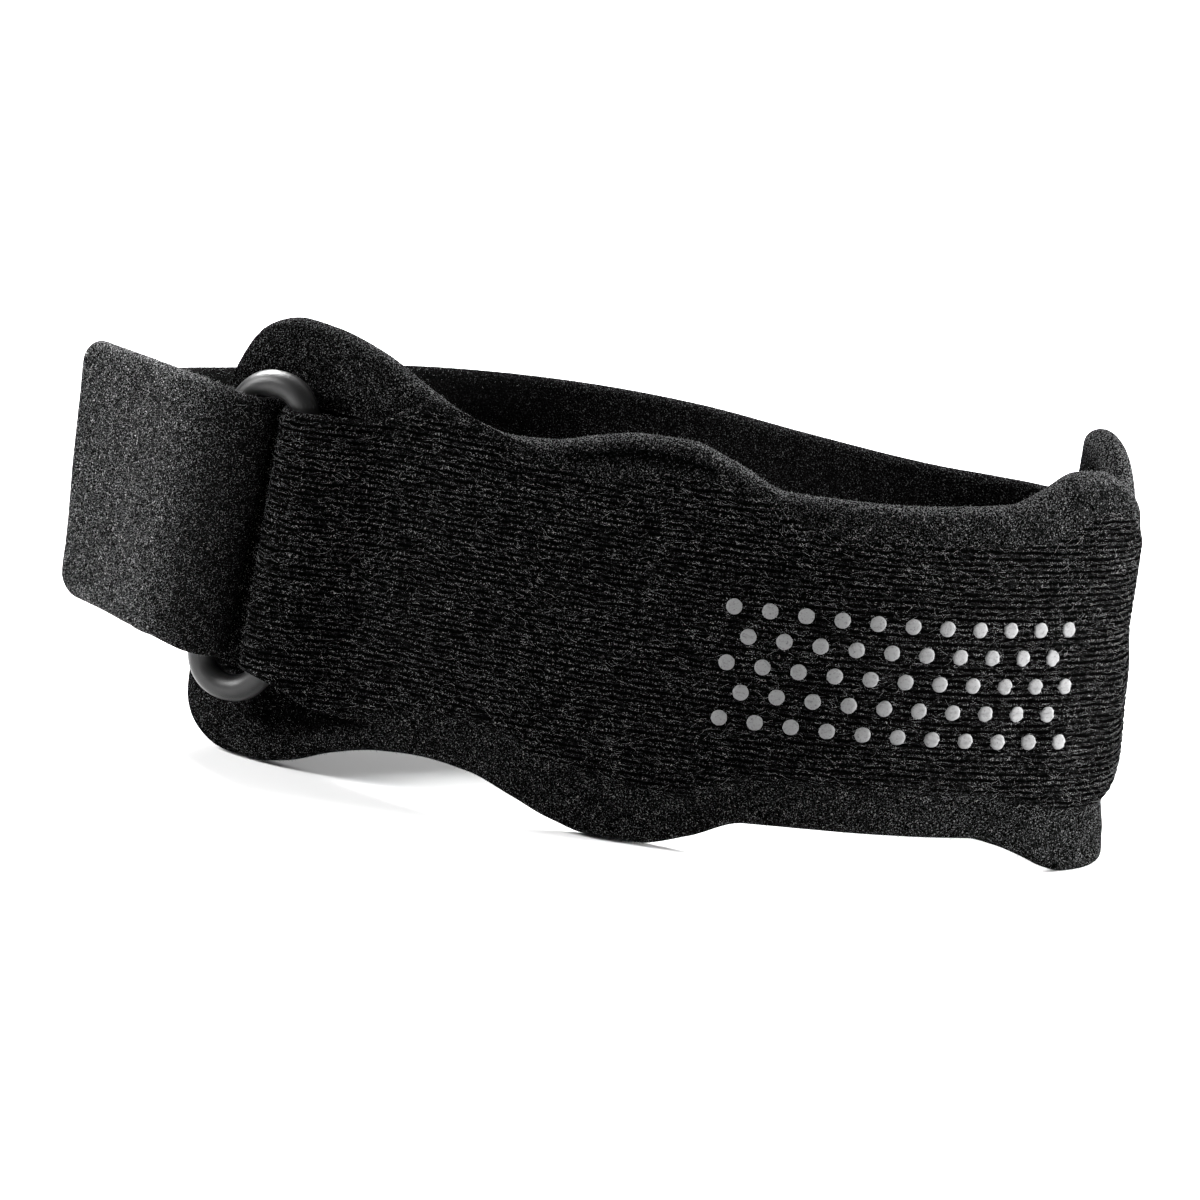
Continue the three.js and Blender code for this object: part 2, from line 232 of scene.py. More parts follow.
class Route:
    """A plan line, read by the distance along it."""

    def __init__(self, points):
        steps = np.linalg.norm(np.diff(points, axis=0), axis=1)
        self.points = points[np.concatenate([[True], steps > 1e-6])]
        steps = np.linalg.norm(np.diff(self.points, axis=0), axis=1)
        self.runs = np.concatenate([[0], np.cumsum(steps)])
        self.length = self.runs[-1]

    def at(self, run):
        return np.stack([np.interp(run, self.runs, self.points[:, i]) for i in (0, 1)], axis=-1)

    def along(self, run, reach=0.5):
        ahead = self.at(np.minimum(np.asarray(run) + reach, self.length))
        step = ahead - self.at(np.maximum(np.asarray(run) - reach, 0))
        return step / np.linalg.norm(step, axis=-1, keepdims=True)

    def normal(self, run, reach=0.5):
        """To the right of the way the line runs."""
        along = self.along(run, reach)
        return np.stack([along[..., 1], -along[..., 0]], axis=-1)

    def beside(self, run, offset):
        return self.at(run) + self.normal(run) * np.asarray(offset)[..., None]


def soft_noise(points, size, seed):
    """Smooth noise from -1 to 1 at points in mm; size is one number or one for each axis."""
    grid = np.random.default_rng(seed).uniform(-1, 1, (24, 24, 24))
    place = np.asarray(points) / np.asarray(size)
    cell = np.floor(place).astype(int)
    part = place - cell
    part = part * part * (3 - 2 * part)
    total = np.zeros(place.shape[:-1])
    for corner in np.ndindex(2, 2, 2):
        index = (cell + corner) % 24
        weight = np.prod(np.where(corner, part, 1 - part), axis=-1)
        total += weight * grid[index[..., 0], index[..., 1], index[..., 2]]
    return total


def round_over(distance, reach):
    """Rounded shoulder: 0 at an edge, 1 from reach inwards."""
    inside = np.clip(1 - np.asarray(distance, float) / reach, 0, 1)
    return np.sqrt(1 - inside ** 2)


# Meshes

def finish_piece(mesh, name, material, replaces=()):
    mesh.validate()
    mesh.shade_smooth()
    piece = bpy.data.objects.new(name, mesh)
    bpy.context.scene.collection.objects.link(piece)
    mesh.materials.append(material)
    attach(piece, "root")
    if replaces:
        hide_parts(*replaces)
    return piece


def make_mesh(name, points, faces, lay=None):
    """Mesh from points in mm of the plan; lay is a vector on each point that the cloth's finish reads."""
    mesh = bpy.data.meshes.new(name)
    mesh.from_pydata(((points + LOOP_SHIFT) * MM).tolist(), [], faces)
    if lay is not None:
        mesh.attributes.new("lay", "FLOAT_VECTOR", "POINT").data.foreach_set("vector", lay.ravel())
    return mesh


def skin(name, rings, lay, is_loop=False):
    """Closed skin over rings of points; open ends are closed with a fan."""
    count, sides = rings.shape[:2]
    i = np.arange(count if is_loop else count - 1)[:, None]
    j = np.arange(sides)[None]
    here, ahead = i * sides, ((i + 1) % count) * sides
    beside = (j + 1) % sides
    quads = np.stack([here + j, here + beside, ahead + beside, ahead + j], axis=-1).reshape(-1, 4)
    points, marks = rings.reshape(-1, 3), lay.reshape(-1, 3)
    volume = np.einsum("ij,ij->", points[quads[:, 0]],
                       np.cross(points[quads[:, 1]], points[quads[:, 2]])
                       + np.cross(points[quads[:, 2]], points[quads[:, 3]]))
    faces = quads.tolist()
    if not is_loop:
        for ring, turn in ((0, 1), (count - 1, -1)):
            middle = len(points)
            points = np.vstack([points, rings[ring].mean(axis=0)])
            marks = np.vstack([marks, lay[ring].mean(axis=0)])
            edge = ring * sides + np.arange(sides)
            fan = np.stack([edge, np.full(sides, middle), np.roll(edge, -1)], axis=-1)
            faces += fan[:, ::turn].tolist()
    if volume < 0:
        faces = [face[::-1] for face in faces]
    return make_mesh(name, points, faces, marks)


def place_rings(route, runs, across, heights, reach=CLOTH_REACH):
    """Points of a band: across its line to the right, and up; both are stations by section points."""
    plan = route.at(runs)[:, None] + route.normal(runs, reach)[:, None] * across[..., None]
    return np.concatenate([plan, heights[..., None]], axis=-1)


def outward(rings):
    """Outward normals of a skin's rings."""
    along = np.gradient(rings, axis=0)
    around = np.roll(rings, -1, axis=1) - np.roll(rings, 1, axis=1)
    normal = np.cross(along, around)
    normal /= np.linalg.norm(normal, axis=-1, keepdims=True) + 1e-9
    middle = rings.mean(axis=1, keepdims=True)
    if np.sum(normal * (rings - middle)) < 0:
        normal = -normal
    return normal


def scatter(rings, weight, count, rng):
    """Random places on a skin, thicker where weight is higher: points, normals and the way along."""
    normals = outward(rings)
    along = np.gradient(rings, axis=0)
    along /= np.linalg.norm(along, axis=-1, keepdims=True) + 1e-9
    down = rings[1:, :] - rings[:-1, :]
    side = np.roll(rings, -1, axis=1)[:-1] - rings[:-1]
    odds = (np.linalg.norm(np.cross(down, side), axis=-1) * weight[:-1]).ravel()
    cell = rng.choice(len(odds), size=count, p=odds / odds.sum())
    i, j = np.divmod(cell, rings.shape[1])
    beside = (j + 1) % rings.shape[1]
    u, v = rng.random((2, count, 1))

    def blend(field):
        low = field[i, j] * (1 - v) + field[i, beside] * v
        return low * (1 - u) + (field[i + 1, j] * (1 - v) + field[i + 1, beside] * v) * u

    return blend(rings), blend(normals), blend(along)


def hairs(name, roots, leans, curls, lengths, width, parts):
    """Closed tapering hairs; each starts along its lean and curls towards its curl."""
    count = len(roots)
    lean = leans / np.linalg.norm(leans, axis=-1, keepdims=True)
    side = np.cross(lean, curls + np.array([0.13, 0.29, 0.41]))
    side /= np.linalg.norm(side, axis=-1, keepdims=True)
    other = np.cross(lean, side)
    levels = []
    for k in range(parts):
        t = k / parts
        centre = roots + lengths[:, None] * (lean * t + curls * t * t)
        reach = width * (1 - 0.55 * t) * 0.5
        for turn in (0, 2 * math.pi / 3, 4 * math.pi / 3):
            levels.append(centre + reach * (side * math.cos(turn) + other * math.sin(turn)))
    levels.append(roots + lengths[:, None] * (lean + curls))
    points = np.stack(levels, axis=1).reshape(-1, 3)
    each = 3 * parts + 1
    faces = [(2, 1, 0)]
    for k in range(parts - 1):
        a = 3 * k
        for m in range(3):
            n = (m + 1) % 3
            faces.append((a + m, a + n, a + 3 + n))
            faces.append((a + m, a + 3 + n, a + 3 + m))
    last = 3 * (parts - 1)
    faces += [(last, last + 1, each - 1), (last + 1, last + 2, each - 1), (last + 2, last, each - 1)]
    whole = (np.arange(count)[:, None, None] * each + np.array(faces)[None]).reshape(-1, 3)
    return make_mesh(name, points, whole.tolist())


def tube_faces(first, rings, sides, turn=1):
    """Faces of a tube over rings of points, closed at both ends; turn -1 turns them all over."""
    faces = []
    for start in range(first, first + sides * (rings - 1), sides):
        for m in range(sides):
            a, b = start + m, start + (m + 1) % sides
            faces.append((a, *(b, b + sides, a + sides)[::turn]))
    last = first + sides * (rings - 1)
    caps = [tuple(range(first, first + sides)[::-turn]), tuple(range(last, last + sides)[::turn])]
    return faces + caps[::turn]


def stitch_row(line, normals):
    """Short raised stitches along a line of points, as points and faces."""
    steps = np.linalg.norm(np.diff(line, axis=0), axis=1)
    runs = np.concatenate([[0], np.cumsum(steps)])

    def at(run, values):
        return np.array([np.interp(run, runs, values[:, i]) for i in range(3)])

    points, faces = [], []
    start = STITCH_GAP
    while start + STITCH_LENGTH < runs[-1]:
        first = len(points)
        for t in np.linspace(0, 1, STITCH_RINGS):
            run = start + STITCH_LENGTH * t
            centre = at(run, line)
            lift = at(run, normals)
            ahead = at(run + 0.1, line) - centre
            side = np.cross(ahead / (np.linalg.norm(ahead) + 1e-9), lift)
            swell = math.sin(math.pi * t)
            centre = centre + lift * (THREAD_THICKNESS * (0.75 * swell - 0.45))
            reach = THREAD_THICKNESS * 0.5 * (0.35 + 0.65 * swell ** 0.5)
            for turn in np.linspace(0, 2 * math.pi, STITCH_SIDES, endpoint=False):
                points.append(centre + reach * (side * math.cos(turn) + lift * math.sin(turn)))
        faces += tube_faces(first, STITCH_RINGS, STITCH_SIDES)
        start += STITCH_LENGTH + STITCH_GAP
    return points, faces


# Finishes

class Wire:
    """A socket that takes part in sums."""

    def __init__(self, finish, socket):
        self.finish = finish
        self.socket = socket

    def _math(self, operation, *terms):
        return self.finish.add("ShaderNodeMath", {"operation": operation}, dict(enumerate(terms)))

    def __add__(self, other):
        return self._math("ADD", self, other)

    def __sub__(self, other):
        return self._math("SUBTRACT", self, other)

    def __rsub__(self, other):
        return self._math("SUBTRACT", other, self)

    def __mul__(self, other):
        return self._math("MULTIPLY", self, other)

    __radd__ = __add__
    __rmul__ = __mul__


class Finish:
    """A material and its nodes."""

    def __init__(self, name):
        self.material = bpy.data.materials.new(name)
        self.material.use_nodes = True
        self.tree = self.material.node_tree
        self.tree.nodes.clear()

    def add(self, kind, settings=None, sockets=None, output=0):
        """Adds a node: its settings first, then its sockets' values or links."""
        node = self.tree.nodes.new(kind)
        for key, value in (settings or {}).items():
            setattr(node, key, value)
        for key, value in (sockets or {}).items():
            if isinstance(value, Wire):
                self.tree.links.new(value.socket, node.inputs[key])
            else:
                node.inputs[key].default_value = value
        return Wire(self, node.outputs[output])

    def position(self):
        return self.add("ShaderNodeTexCoord", output="Object")

    def lay(self, count):
        """The first values that a cloth's mesh holds on its points."""
        vector = self.add("ShaderNodeAttribute", {"attribute_name": "lay"}, output="Vector")
        return [self.add("ShaderNodeSeparateXYZ", {}, {0: vector}, output=axis) for axis in range(count)]

    def function(self, operation, value):
        """A Math node on one value, such as its cosine."""
        return self.add("ShaderNodeMath", {"operation": operation}, {0: value})

    def noise(self, vector, size, detail=2.0, roughness=0.5):
        """Noise whose lumps are about size mm wide."""
        sockets = {"Vector": vector, "Scale": 1 / (size * MM), "Detail": detail, "Roughness": roughness}
        return self.add("ShaderNodeTexNoise", {}, sockets)

    def stretched(self, across, up, layer):
        """Noise in a cloth's own directions."""
        vector = self.add("ShaderNodeCombineXYZ", {}, {0: across, 1: up, 2: layer})
        return self.add("ShaderNodeTexNoise", {}, {"Vector": vector, "Scale": 1.0, "Detail": 2.0})

    def cosine(self, turns):
        return self.function("COSINE", turns * (2 * math.pi))

    def curls(self, vector, size, width):
        """Thin curly lines."""
        level = self.noise(vector, size, 1.0, 0.5) - 0.5
        return self.sharpen(self.function("ABSOLUTE", level), width, 0.0)

    def sharpen(self, value, low, high):
        """0 below low, 1 above high."""
        return self.add("ShaderNodeMapRange", {"interpolation_type": "SMOOTHSTEP"},
                        {"Value": value, "From Min": low, "From Max": high})

    def blend(self, factor, first, second):
        """Mix of two colours."""
        return self.add("ShaderNodeMix", {"data_type": "RGBA"},
                        {0: factor, 6: first, 7: second}, output=2)

    def bump(self, height, depth):
        """Depth in mm for a height from 0 to 1."""
        return self.add("ShaderNodeBump", {}, {"Height": height, "Distance": depth * MM, "Strength": 1.0})

    def surface(self, colour, roughness, normal=None, gloss=0.5):
        """The closing shader; gloss is one value all over."""
        sockets = {"Base Color": colour, "Roughness": roughness, "Specular IOR Level": gloss}
        if normal is not None:
            sockets["Normal"] = normal
        shader = self.add("ShaderNodeBsdfPrincipled", {}, sockets)
        end = self.tree.nodes.new("ShaderNodeOutputMaterial")
        self.tree.links.new(shader.socket, end.inputs["Surface"])
        return self.material


def grey(value):
    return (value, value, value * 1.01, 1.0)


def plush_finish(name, dark, light):
    """Short brushed pile: dark grain with curly fibres and brighter tips, in soft clumps, with painted
    shade and a painted highlight along the rims read from the mesh's lay.
    """
    f = Finish(name)
    place = f.position()
    shaded, rim = f.lay(2)
    grain = f.noise(place, 0.30, 3.0, 0.7)
    speck = f.noise(place, 0.22, 1.0, 0.5)
    clump = f.sharpen(f.noise(place, 1.6, 2.0, 0.6), 0.30, 0.70)
    curl = f.curls(place, 0.46, 0.038)
    base = f.blend(f.sharpen(grain, 0.44, 0.68), grey(dark * 0.05), grey(dark * 1.6))
    lit = f.blend(curl * (0.30 + clump * 0.50), base, grey(light * 0.8))
    lit = f.blend(f.sharpen(speck, 0.61, 0.70) * (0.4 + clump * 0.6), lit, grey(light * 2.8))
    # Painted highlight along the rims
    lit = f.blend(rim * f.sharpen(speck, 0.50, 0.64), lit, grey(light * 2.2))
    # Painted shade inside loops, in folds, in grooves and under the ring
    colour = f.blend(shaded, lit, grey(dark * 0.2))
    normal = f.bump(grain * 0.4 + curl * 0.3 + speck * 0.3, 0.40)
    return f.surface(colour, 0.95, normal, gloss=0.0)


def knit_finish():
    """Ribbed knit: rows of bright specks over dark lens-shaped gaps, read from the cloth's own lay."""
    f = Finish("ribbed_knit")
    place = f.position()
    run, phase, depth = f.lay(3)
    wobble = f.stretched(run * 0.50, phase * 0.7, 0.0) * 0.6 - 0.3
    # phase counts the ribs: whole numbers are valleys, halves are ridges
    ridge = f.sharpen(f.cosine(phase + wobble), 0.70, -0.45)
    bridge = f.sharpen(f.stretched(run * 0.70, phase * 1.4, 5.0), 0.52, 0.62)
    pulled = f.sharpen(run, BEND_START, BEND_START + 18.0)
    crease = f.sharpen(f.cosine(phase * 0.5 + wobble * 0.3), 0.55, 0.95) * pulled
    raised = 1 - (1 - ridge) * (1 - bridge * 0.75) * depth * 0.92
    raised = raised * (1 - crease * depth * 0.9)
    dash = f.sharpen(f.stretched(run * 2.7, phase * 4.4 + wobble * 2.0, 3.0), 0.56, 0.66)
    speck = f.noise(place, 0.18, 1.0, 0.5)
    tips = f.sharpen(speck, 0.61, 0.70)
    clump = f.sharpen(f.noise(place, 2.6, 2.0, 0.6), 0.30, 0.70)
    base = f.blend(raised, grey(0.0002), grey(0.0008))
    lit = f.blend(dash * raised * raised * (0.20 + clump * 0.40), base, grey(0.040))
    colour = f.blend(tips * raised * raised * (0.14 + clump * 0.50), lit, grey(0.250))
    normal = f.bump(raised * 0.6 + dash * 0.2 + speck * 0.2, 0.34)
    return f.surface(colour, 0.95, normal, gloss=0.0)


def ring_finish():
    """Satin moulded plastic with a trace of grain."""
    f = Finish("satin_plastic")
    place = f.position()
    cloud = f.noise(place, 3.0, 3.0, 0.6)
    grain = f.noise(place, 0.18, 2.0, 0.5)
    colour = f.blend(f.sharpen(cloud, 0.3, 0.7), grey(0.006), grey(0.010))
    normal = f.bump(grain, 0.045)
    return f.surface(colour, 0.34 + grain * 0.08, normal, gloss=0.30)


def thread_finish(name, dark, light):
    """Twisted thread."""
    f = Finish(name)
    place = f.position()
    twist = f.noise(place, 0.16, 2.0, 0.5)
    colour = f.blend(f.sharpen(twist, 0.4, 0.65), grey(dark), grey(light))
    return f.surface(colour, 0.8, f.bump(twist, 0.06), gloss=0.1)


def print_finish():
    """Pale rubbery print, sunk into the cloth here and there."""
    f = Finish("pale_print")
    place = f.position()
    worn = f.sharpen(f.noise(place, 0.30, 3.0, 0.7), 0.30, 0.48)
    colour = f.blend(worn, grey(0.055), grey(0.12))
    return f.surface(colour, 0.75, f.bump(worn, 0.05), gloss=0.2)


def hook_finish():
    """Fine hooks in rows."""
    f = Finish("hook_tape")
    place = f.position()
    spots = f.add("ShaderNodeTexVoronoi", {"feature": "F1"},
                  {"Vector": place, "Scale": 1 / (0.9 * MM), "Randomness": 0.35}, output="Distance")
    hook = 1 - f.sharpen(spots, 0.15, 0.5)
    colour = f.blend(hook, grey(0.006), grey(0.030))
    return f.surface(colour, 0.5, f.bump(hook, 0.4))


# Pad

pad_route = Route(centripetal([(x * LOOP_WIDTH, y * LOOP_DEPTH) for x, y in PAD_PLAN]))
pad_length = pad_route.length


def pad_edges(distance):
    """Bottom and top of the pad before its corners are rounded."""
    share = np.asarray(distance) / pad_length
    return (LOBE_HEIGHT * table_at(PAD_OUTLINE, 2, share), LOBE_HEIGHT * table_at(PAD_OUTLINE, 1, share))


def pad_middle(distance):
    low, high = pad_edges(distance)
    return (low + high) / 2


def knit_edges(distance):
    share = np.asarray(distance) / pad_length
    middle = LOBE_HEIGHT * table_at(KNIT_OUTLINE, 2, share)
    half = KNIT_WIDTH / 2 * table_at(KNIT_OUTLINE, 1, share)
    return middle - half, middle + half


# Steps from a face's edges inwards, and from the pad's ends inwards as shares of their radius
EDGE_SPACING = np.array([0, 0.04, 0.12, 0.26, 0.46, 0.72, 1.05, 1.45, 1.9, 2.4, 3.0, 3.7, 4.5, 5.4])
END_SPACING = np.array([0, 0.012, 0.03, 0.06, 0.1, 0.15, 0.21, 0.28, 0.36, 0.46, 0.58, 0.72, 0.86])


def end_steps(length, reach, step):
    """Distances along a band, close together at both ends."""
    ends = reach * END_SPACING
    inner = np.linspace(reach, length - reach, int((length - 2 * reach) / step) + 2)
    return np.concatenate([ends, inner, length - ends[::-1]])


def corner_inset(distance, radius):
    return radius * (1 - round_over(distance, radius))


def face_heights(low, high, inner):
    """Heights over a face, close together near both edges; stations by points."""
    inner_share = np.linspace(0, 1, inner + 2)[1:-1]
    reach = np.minimum(EDGE_SPACING[-1], (high - low) * 0.4)[:, None] / EDGE_SPACING[-1]
    bottom = low[:, None] + EDGE_SPACING * reach
    top = high[:, None] - EDGE_SPACING[::-1] * reach
    middle = bottom[:, -1:] + (top[:, :1] - bottom[:, -1:]) * inner_share
    return np.concatenate([bottom, middle, top], axis=1)


def pad_lay(rings, runs, heights, under_top):
    """What the pad's finish reads: painted shade in the first value and a painted highlight along the top
    edge in the second.
    """
    share = (runs / pad_length)[:, None]
    lay = np.zeros_like(rings)
    under_rim = np.concatenate([under_top, under_top[:, ::-1]], axis=1)
    on_inside = (np.arange(rings.shape[1]) >= heights.shape[1])[None]
    # Painted highlight along the top edge, on both faces, wider on the lobe at the bend
    rim_reach = 0.8 + 0.5 * smooth(share, 0.70, 0.76)
    rim = hump(under_rim, 0, rim_reach) * (0.5 + 0.5 * smooth(share, 0.20, 0.33))
    # The inside of the far end gets a painted highlight near its top edge and painted shade below it
    far_inside = smooth(share, 0.86, 0.93) * on_inside
    lay[..., 1] = np.maximum(rim, far_inside * hump(under_rim, 0, 3.5))
    lay[..., 0] = 0.62 * far_inside * smooth(under_rim, 2, 6)
    # Painted shade in the groove under the welt
    dip = np.exp(-((under_top - 2.9) / 1.0) ** 4) * between(share, (0.24, 0.34), (0.52, 0.60))
    # The shadow of the ring and of the tab's lower edge
    past_ring = (runs - RING_STANDOFF)[:, None]
    foot = 4.6 + 2.6 * smooth(past_ring, 1, 9)
    under_ring = 0.85 * smooth(heights, foot, foot + 2.6) * (1 - smooth(heights, 17, 19))
    under_ring = under_ring * between(past_ring, (-9, -4), (9, 17))
    lay[:, :heights.shape[1], 0] = np.maximum(0.85 * dip, under_ring)
    return lay


def make_pad(material):
    runs = end_steps(pad_length, PAD_END_RADIUS, PAD_STEP)
    from_end = np.minimum(runs, pad_length - runs)
    low, high = pad_edges(runs)
    inset = corner_inset(from_end, PAD_END_RADIUS)
    low, high = low + inset, high - inset
    heights = face_heights(low, high, PAD_FACE_POINTS)
    above_bottom = heights - low[:, None]
    under_top = high[:, None] - heights
    edge = np.minimum(above_bottom, under_top)
    share = (runs / pad_length)[:, None]
    half = PAD_THICKNESS / 2 * (0.35 + 0.65 * round_over(from_end, PAD_END_SHOULDER))[:, None]
    body = half * round_over(edge, PAD_SHOULDER)
    # The welt along the top edge is a soft round rim with a groove under it
    welt = between(share, (0.20, 0.33), (0.70, 0.78))
    swell = welt * RIM_SWELL * hump(under_top, 1.4, 1.1)
    groove = hump(under_top, 2.6, 0.8) * welt * RIM_GROOVE * (1 - 0.7 * smooth(share, 0.58, 0.66))
    groove += hump(above_bottom, 3.6, 1.3) * FOOT_GROOVE
    puff = PAD_PUFF * between(edge, (0.8, 5.0), (9.0, 16.0))
    inside = PAD_PUFF_INSIDE * smooth(edge, 1, 7) * smooth(from_end, 0, 6)[:, None]
    clear_of_end = smooth(from_end, 0, 5)[:, None]
    outer = place_rings(pad_route, runs, body + (puff + swell - groove) * clear_of_end, heights, 0.5)
    inner = place_rings(pad_route, runs, -(body + inside), heights, 0.5)
    wave = soft_noise(outer, (9, 9, 7), 3) * PAD_WAVE * smooth(edge, 0.5, 4) * clear_of_end
    normal = pad_route.normal(runs)[:, None]
    outer[..., :2] += normal * wave[..., None]
    rings = np.concatenate([outer, inner[:, ::-1]], axis=1)
    # The feet of the far end turn outwards a little, and so does its top lobe
    flare = FOOT_FLARE * smooth(share, 0.80, 0.88) * (1 - smooth(rings[..., 2], 1, 13))
    flare = flare + LOBE_FLARE * smooth(share, 0.90, 0.95) * smooth(rings[..., 2], 44, 58)
    rings[..., :2] += normal * flare[..., None]
    lay = pad_lay(rings, runs, heights, under_top)
    piece = finish_piece(skin("padded_band", rings, lay), "padded_band", material, ["pad"])
    return rings, heights.shape[1]


# Knit band

knit_offset = PAD_THICKNESS / 2 + SEAT_GAP + KNIT_THICKNESS / 2
bar_offset = PAD_THICKNESS / 2 + SEAT_GAP + KNIT_THICKNESS + TAB_GAP + RING_TUBE / 2
knit_wrap = RING_TUBE / 2 + TAB_GAP + KNIT_THICKNESS / 2
strap_wrap = RING_TUBE / 2 + FOLD_GAP + STRAP_THICKNESS / 2
right_bar = pad_route.beside(np.array(RING_STANDOFF), bar_offset)
bar_along = pad_route.along(np.array(RING_STANDOFF))
tab_angle = math.atan2(bar_along[1], bar_along[0])
ring_angle = tab_angle + RING_TILT
ring_along = np.array([math.cos(ring_angle), math.sin(ring_angle)])
left_bar = right_bar - ring_along * (RING_INNER_WIDTH + RING_TUBE)
ring_middle = float(pad_middle(RING_STANDOFF)) + RING_RISE


def lean_over(points, slope):
    """Leans points over at the ring, by a slope that may vary."""
    points[..., :2] += ring_along * ((points[..., 2] - ring_middle) * slope)[..., None]


def arc(centre, radius, start, end, count):
    turn = np.linspace(start, end, count)
    return centre + radius * np.stack([np.cos(turn), np.sin(turn)], axis=-1)


def knit_line():
    """The tab's return, its turn round the ring's bar, its landing and the run along the pad."""
    back = np.linspace(RING_STANDOFF + TAB_RETURN, RING_STANDOFF + 0.2, 14)
    turn = arc(right_bar, knit_wrap, tab_angle + math.pi / 2, tab_angle + 1.5 * math.pi, 40)
    on_pad = RING_STANDOFF + TAB_LANDING
    landing = np.linspace(RING_STANDOFF + 0.2, on_pad, 30)
    lift = bar_offset + knit_wrap
    fall = smooth(landing, RING_STANDOFF, on_pad)
    run = np.linspace(on_pad + 0.4, pad_length - KNIT_END_MARGIN, 400)
    return Route(np.vstack([
        pad_route.beside(back, np.full_like(back, knit_offset)),
        turn,
        pad_route.beside(landing, lift + (knit_offset - lift) * fall),
        pad_route.beside(run, np.full_like(run, knit_offset)),
    ]))


def knit_outline(runs, distance):
    """The knit's lower and upper edges at runs along its line and distances along the pad."""
    tab = 1 - smooth(distance, RING_STANDOFF, RING_STANDOFF + TAB_LANDING)
    knit_low, knit_high = knit_edges(distance)
    middle = (knit_low + knit_high) / 2 * (1 - tab) + ring_middle * tab
    half = (knit_high - knit_low) / 2
    low = middle - half + table_at(KNIT_LOWER_TRIM, 1, runs)
    high = middle + half + TAB_TOP_RISE * between(distance - RING_STANDOFF, (1, 13), (26, 44))
    # The upper edge keeps close under the pad's rim
    rise = np.clip(pad_edges(distance)[1] - KNIT_UNDER_RIM - high, 0, KNIT_RISE_LIMIT)
    return low, high + rise * between(distance / pad_length, (0.22, 0.34), (0.86, 0.90))


def make_knit(material):
    route = knit_line()
    end_runs = np.array([0, 0.15, 0.4, 0.7])
    runs = np.concatenate([end_runs, np.linspace(1.1, route.length - 1.1, int(route.length / KNIT_STEP)),
                           route.length - end_runs[::-1]])
    # The turn round the ring's bar counts as one place on the pad
    distance = np.maximum(RING_STANDOFF, pad_length - KNIT_END_MARGIN - (route.length - runs))
    low, high = knit_outline(runs, distance)
    up = np.linspace(0, 1, KNIT_FACE_POINTS)
    heights = low[:, None] + (high - low)[:, None] * up
    edge = np.minimum(heights - low[:, None], high[:, None] - heights)
    from_end = np.minimum(runs, route.length - runs)[:, None]
    on_pad = RING_STANDOFF + TAB_LANDING
    joined = smooth(distance, on_pad - 9, on_pad + 3)[:, None]
    free = 1 - joined
    bend = between((distance / pad_length)[:, None], (0.62, 0.76), (0.97, 1.0))
    flat = np.stack([np.broadcast_to(runs[:, None], heights.shape), heights, np.zeros_like(heights)], -1)

    # Ribs, each with its own sway, and every second one a deeper crease at the bend
    sway = soft_noise(flat, (14, 6, 1), 5) * 0.22 + soft_noise(flat, (4, 3, 1), 6) * 0.10
    phase = heights / RIB_PITCH + sway
    rib = np.abs(np.sin(math.pi * phase)) ** 0.7
    strength = RIB_DEPTH * (free * smooth(edge, 0.2, 1.2) + joined * smooth(edge, 0.4, 3.0))
    strength = strength * (0.75 + 0.25 * soft_noise(flat, (2.2, 1.4, 1), 8))
    crease = 1 - np.abs(np.sin(math.pi * phase / 2)) ** 0.5
    pulled = PULLED_RIB_DEPTH * crease * bend * smooth(edge, 0.8, 4)

    # The slow forms: a dome on the pad, folds, a lean at the bend and edges that sink into the plush
    dome = KNIT_DOME * (1 - bend) * np.sin(math.pi * up) ** 0.8 * joined
    folds = soft_noise(flat, (3.4, 22, 1), 11) * 0.30 * bend + soft_noise(flat, (10, 8, 1), 12) * 0.20
    lean = bend * joined * (0.4 * (1 - smooth(heights, 20, 30)) - 0.9 * smooth(heights, 28, 38))
    fall = (KNIT_EDGE_DROP - 0.5 * bend) * joined * (1 - smooth(edge, 0.0, 3.4))
    end_fall = KNIT_END_DROP * (1 - smooth(route.length - runs, 0, 2.6))[:, None]
    landing = 0.45 * hump(distance, on_pad - 1.0, 2.2)[:, None]
    body = KNIT_THICKNESS / 2
    across = body * np.where(joined > 0.5, 1.0, round_over(edge, 0.9)) - strength * (1 - rib) - pulled
    across = across + dome + folds * smooth(edge, 0, 6) + lean - fall - end_fall - landing
    across = across * (1 - 0.4 * (1 - round_over(from_end, 0.7)))
    outer = place_rings(route, runs, across, heights)

    heights_in = low[:, None] + (high - low)[:, None] * np.linspace(1, 0, 16)
    edge_in = np.minimum(heights_in - low[:, None], high[:, None] - heights_in)
    across_in = -body * (free * round_over(edge_in, 0.9) + joined * 1.9)
    inner = place_rings(route, runs, across_in, heights_in)
    rings = np.concatenate([outer, inner], axis=1)
    lean_over(rings, RING_LEAN * (1 - smooth(distance - RING_STANDOFF, 1, 20))[:, None])

    # The finish reads the run, the count of ribs and how deep they are
    lay = np.zeros_like(rings)
    lay[..., 0] = runs[:, None]
    lay[..., 1] = np.concatenate([phase, heights_in / RIB_PITCH], axis=1)
    lay[..., 2] = 1.0
    lay[:, :KNIT_FACE_POINTS, 2] = np.clip(strength / 0.22, 0, 1)
    piece = finish_piece(skin("knit_front", rings, lay), "knit_front", material, ["knit_band"])
    return rings, distance


# Ring

